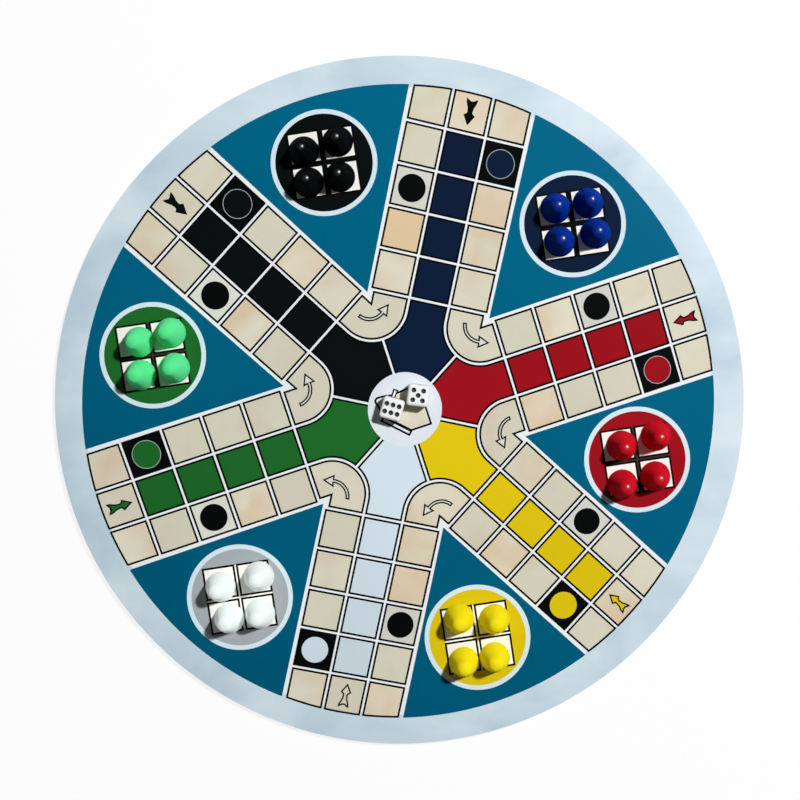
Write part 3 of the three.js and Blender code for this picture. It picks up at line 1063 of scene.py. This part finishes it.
def pawn_profile(pawn, foot_radius, height):
    """A pawn's half section from the axis in its hollow to the axis on its tip: a rounded foot rim,
    a straight side and the tip's arc, which the side touches."""
    quarter = math.pi / 2
    rounding = pawn.foot_round
    small = rounding / 2
    hollow = foot_radius - pawn.hollow_wall
    cone = foot_radius - pawn.foot_step
    tip = pawn.tip / 2
    rise = height - tip - pawn.foot_height
    lean = math.atan2(cone, rise) - math.asin(tip / math.hypot(cone, rise))
    dome = arc((0, height - tip), tip, lean, quarter, 30)
    share = np.linspace(0, 1, 40)[:-1, None]
    side = (1 - share) * (cone, pawn.foot_height) + share * dome[0]
    return np.vstack([
        [(0, pawn.hollow_depth), (hollow * 0.5, pawn.hollow_depth)],
        arc((hollow - small, pawn.hollow_depth - small), small, quarter, 0, 4),
        arc((hollow + small, small), small, math.pi, 1.5 * math.pi, 4),
        arc((foot_radius - rounding, rounding), rounding, -quarter, 0, 6),
        arc((foot_radius - rounding, pawn.foot_height - rounding), rounding, 0, quarter, 6),
        side,
        dome[:-1],
        [(0, height)],
    ])


class SetPawns(bpy.types.Operator):
    """Sets four pawns of each colour on their places"""

    bl_idname = "race_board.set_pawns"
    bl_label = "Set Pawns"

    def execute(self, context):
        pawn = context.scene.race_board.pawn
        turns = iter(np.random.default_rng(PAWN_SEED).uniform(0, math.pi, len(PLAYERS) * PAWNS_EACH).tolist())

        def seam(off, height):
            share = np.exp(-((off / pawn.seam_width) ** 2))
            return pawn.seam_height * share * (height > pawn.foot_height)

        for player in PLAYERS:
            finish = pawn_finish(player, getattr(pawn, player), player in POLISHED, PAINTED_GLOW[player])
            for spot in range(1, PAWNS_EACH + 1):
                node = f"pawn_{player}_{spot}"
                low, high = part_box(node)
                profile = pawn_profile(pawn, (high.x - low.x) / 2, high.z - low.z)
                points, faces = lathe(profile, PAWN_SIDES, next(turns), seam)
                points = points + ((low.x + high.x) / 2, (low.y + high.y) / 2, low.z)
                new_piece(f"{player}_pawn_{spot}", points, faces, finish, node, f"pawn_{player}", [node])
        return {"FINISHED"}


def spot_places(die, half, value):
    """Middles of the spots of one face: the middle, the slant, the corners or two rows of three."""
    spread = half - die.spot_inset
    end = half - die.six_end_inset
    side = half - die.six_side_inset
    middle = [(0, 0)]
    slant = [(-spread, -spread), (spread, spread)]
    corners = [(x, y) for x in (-spread, spread) for y in (-spread, spread)]
    rows = [(x, y) for x in (-end, 0, end) for y in (-side, side)]
    layouts = {1: middle, 2: slant, 3: middle + slant, 4: corners, 5: middle + corners, 6: rows}
    return np.array(layouts[value], float)


def dish_depth(die, off):
    """Depth of a spot's dish at a distance from its middle: a shallow cap of a sphere, whose radius
    is half the spot squared plus the depth squared, over twice the depth."""
    ball = ((die.spot / 2) ** 2 + die.spot_depth**2) / (2 * die.spot_depth)
    cap = np.sqrt(np.clip(ball**2 - off**2, 0, None)) - (ball - die.spot_depth)
    return np.clip(cap, 0, None)


def die_surface(die, half, values):
    """A die as six grids on a cube: each point goes in to the cube inside the rounding and out from
    there by the rounding, less the dish of the spots; points on shared edges are joined."""
    steps = np.arange(-DIE_STEPS, DIE_STEPS + 1, 2)
    u, v = np.meshgrid(steps, steps, indexing="ij")
    flat = np.stack([u, v, np.full_like(u, DIE_STEPS)], axis=-1).reshape(-1, 3)
    size = len(steps)
    row, column = np.meshgrid(np.arange(size - 1), np.arange(size - 1), indexing="ij")
    first = (row * size + column).ravel()
    quads = np.stack([first, first + size, first + size + 1, first + 1], axis=1)
    lattice, points, faces = [], [], []
    for index, (face, turn) in enumerate(FACES.items()):
        local = flat * (half / DIE_STEPS)
        inner = np.clip(local, die.rounding - half, half - die.rounding)
        out = local - inner
        shape = inner + die.rounding * out / np.linalg.norm(out, axis=1, keepdims=True)
        for spot in spot_places(die, half, values[face]):
            shape[:, 2] -= dish_depth(die, np.hypot(shape[:, 0] - spot[0], shape[:, 1] - spot[1]))
        lattice.append(flat @ turn.T)
        points.append(shape @ turn.T)
        faces.append(quads + index * size * size)
    _, kept, joined = np.unique(np.vstack(lattice), axis=0, return_index=True, return_inverse=True)
    return np.vstack(points)[kept], joined.ravel()[np.vstack(faces)]


def spot_caps(die, half, values):
    """Paint in the spots: for each one a thin lens, the dish's own curve raised by the paint."""
    reach = np.linspace(0, die.spot / 2 * 1.02, 9)
    over = np.column_stack([reach, die.paint - dish_depth(die, reach)])
    under = over - (0, 2 * die.paint)
    lens, faces = lathe(np.vstack([under, over[::-1]]), 40)
    points, gathered = [], []
    for face, turn in FACES.items():
        for spot in spot_places(die, half, values[face]):
            gathered += [(np.asarray(f) + len(lens) * len(points)).tolist() for f in faces]
            points.append((lens + (*spot, half)) @ turn.T)
    return np.vstack(points), gathered


class LayDice(bpy.types.Operator):
    """Lays the two dice in the middle, with their spots painted"""

    bl_idname = "race_board.lay_dice"
    bl_label = "Lay Dice"

    def execute(self, context):
        die = context.scene.race_board.die
        body, paint = die_finish(die), spot_finish(die)
        first = {"top": 6, "bottom": 1, "right": 2, "left": 5, "back": 3, "front": 4}
        second = {"top": 5, "bottom": 2, "right": 3, "left": 4, "back": 1, "front": 6}
        laid = (("first", "die_1", first, die.first_turn), ("second", "die_2", second, die.second_turn))
        for name, node, values, turn in laid:
            low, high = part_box(node)
            half = (high.z - low.z) / 2
            c, s = math.cos(turn), math.sin(turn)
            spin = np.array([[c, s, 0], [-s, c, 0], [0, 0, 1]])
            middle = np.array((low + high) / 2)
            points, faces = die_surface(die, half, values)
            new_piece(f"{name}_die", points @ spin + middle, faces, body, node, "die", [node])
            points, faces = spot_caps(die, half, values)
            new_piece(f"{name}_die_spots", points @ spin + middle, faces, paint, node)
        return {"FINISHED"}


class SetStage(bpy.types.Operator):
    """Sets the floor, the two lamps, the soft light from all round and the camera"""

    bl_idname = "race_board.set_stage"
    bl_label = "Set Stage"

    def execute(self, context):
        scene = context.scene
        stage = scene.race_board.stage
        self.lay_floor(scene, stage)
        flat = math.cos(stage.key_height)
        up = math.sin(stage.key_height)
        key = Vector((flat * math.cos(stage.key_turn), flat * math.sin(stage.key_turn), up))
        self.hang_lamp(scene, "lamp", key * stage.key_distance, stage.key_size, stage.key_power)
        under = Vector((0, 0, -stage.under_distance))
        self.hang_lamp(scene, "lower_lamp", under, stage.under_size, stage.under_power)
        self.light_sky(scene, stage)
        self.stand_camera(scene, stage)
        scene.view_settings.view_transform = "Standard"
        return {"FINISHED"}

    def lay_floor(self, scene, stage):
        """A dish: a flat disc that bends up all round into a backdrop, as a quarter of an ellipse."""
        share = np.linspace(0, math.pi / 2, 24)
        flat = np.column_stack([np.linspace(0, stage.floor_radius, 12), np.zeros(12)])
        bend = np.column_stack([
            stage.floor_radius + stage.floor_rise * np.sin(share), stage.floor_rise * (1 - np.cos(share))
        ])
        profile = np.vstack([flat, bend[1:]]) + (0, stage.floor_height)
        near = np.arange(FLOOR_SIDES)
        angles = near * (math.tau / FLOOR_SIDES)
        radius, height = profile[1:, :1], profile[1:, 1:]
        tall = np.repeat(height, FLOOR_SIDES, axis=1)
        rings = np.stack([radius * np.cos(angles), radius * np.sin(angles), tall], axis=-1).reshape(-1, 3)
        points = np.vstack([rings, [(0, 0, stage.floor_height)]])
        fan = np.stack([near, (near + 1) % FLOOR_SIDES, np.full(FLOOR_SIDES, len(rings))], axis=1)
        quads = band_faces(len(radius), FLOOR_SIDES, False)[:, ::-1]
        mesh = bpy.data.meshes.new("floor")
        mesh.from_pydata(points.tolist(), [], [*quads.tolist(), *fan.tolist()])
        mesh.shade_smooth()
        mesh.materials.append(floor_finish(stage))
        floor = bpy.data.objects.new("floor", mesh)
        scene.collection.objects.link(floor)

    def hang_lamp(self, scene, name, spot, size, power):
        """A round lamp at a spot, turned towards the board's middle."""
        lamp = bpy.data.lights.new(name, "AREA")
        lamp.shape = "DISK"
        lamp.size = size
        lamp.energy = power
        hung = bpy.data.objects.new(name, lamp)
        hung.matrix_world = Matrix.Translation(spot) @ spot.to_track_quat("Z", "Y").to_matrix().to_4x4()
        hung.visible_camera = False
        scene.collection.objects.link(hung)

    def light_sky(self, scene, stage):
        """An even soft sky, white where the camera sees it."""
        world = bpy.data.worlds.new("soft_sky")
        world.use_nodes = True
        scene.world = world
        shader = Shader(world.node_tree)
        seen = shader.node("ShaderNodeLightPath", output="Is Camera Ray")
        strength = seen * (1 - stage.sky) + stage.sky
        sockets = {"Color": (1, 1, 1, 1), "Strength": strength}
        sky = shader.node("ShaderNodeBackground", {}, sockets, "Background")
        shader.node("ShaderNodeOutputWorld", {}, {"Surface": sky})

    def stand_camera(self, scene, stage):
        """A camera at its place, looking at its target, with +Y up in the picture."""
        lens = bpy.data.cameras.new("camera")
        lens.lens = stage.lens
        lens.shift_x = stage.lens_shift
        lens.sensor_width = 36.0
        lens.clip_end = 50.0
        stood = bpy.data.objects.new("camera", lens)
        spot = Vector(stage.camera_place)
        back = (spot - Vector(stage.camera_target)).normalized()
        right = Vector((0, 1, 0)).cross(back).normalized()
        turn = Matrix((right, back.cross(right), back)).transposed().to_4x4()
        stood.matrix_world = Matrix.Translation(spot) @ turn
        scene.collection.objects.link(stood)
        scene.camera = stood


OPERATORS = (
    LayBoard,
    PrintSectors,
    PrintTrack,
    PrintPlayers,
    PrintYards,
    PrintArrows,
    PrintHouse,
    SetPawns,
    LayDice,
    SetStage,
)


class RaceBoardPanel(bpy.types.Panel):
    """Lists the steps that dress the race game"""

    bl_idname = "VIEW3D_PT_race_board"
    bl_label = "Round Race Game"
    bl_space_type = "VIEW_3D"
    bl_region_type = "UI"
    bl_category = "Race Game"

    def draw(self, context):
        for step in OPERATORS:
            self.layout.operator(step.bl_idname)


CLASSES = (
    BoardSettings,
    PrintSettings,
    YardSettings,
    InkColours,
    PawnSettings,
    DieSettings,
    StageSettings,
    RaceBoardSettings,
    *OPERATORS,
    RaceBoardPanel,
)


def register():
    """Registers the classes and hangs the settings on the scene."""
    for kind in CLASSES:
        bpy.utils.register_class(kind)
    bpy.types.Scene.race_board = bpy.props.PointerProperty(type=RaceBoardSettings)


def unregister():
    """Takes the settings off the scene and unregisters the classes."""
    del bpy.types.Scene.race_board
    for kind in reversed(CLASSES):
        bpy.utils.unregister_class(kind)


def main():
    """Dresses the whole game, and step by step."""
    register()
    bpy.ops.race_board.lay_board()
    bpy.ops.race_board.print_sectors()
    bpy.ops.race_board.print_track()
    bpy.ops.race_board.print_players()
    bpy.ops.race_board.print_yards()
    bpy.ops.race_board.print_arrows()
    bpy.ops.race_board.print_house()
    bpy.ops.race_board.set_pawns()
    bpy.ops.race_board.lay_dice()
    bpy.ops.race_board.set_stage()


if __name__ == "__main__":
    main()
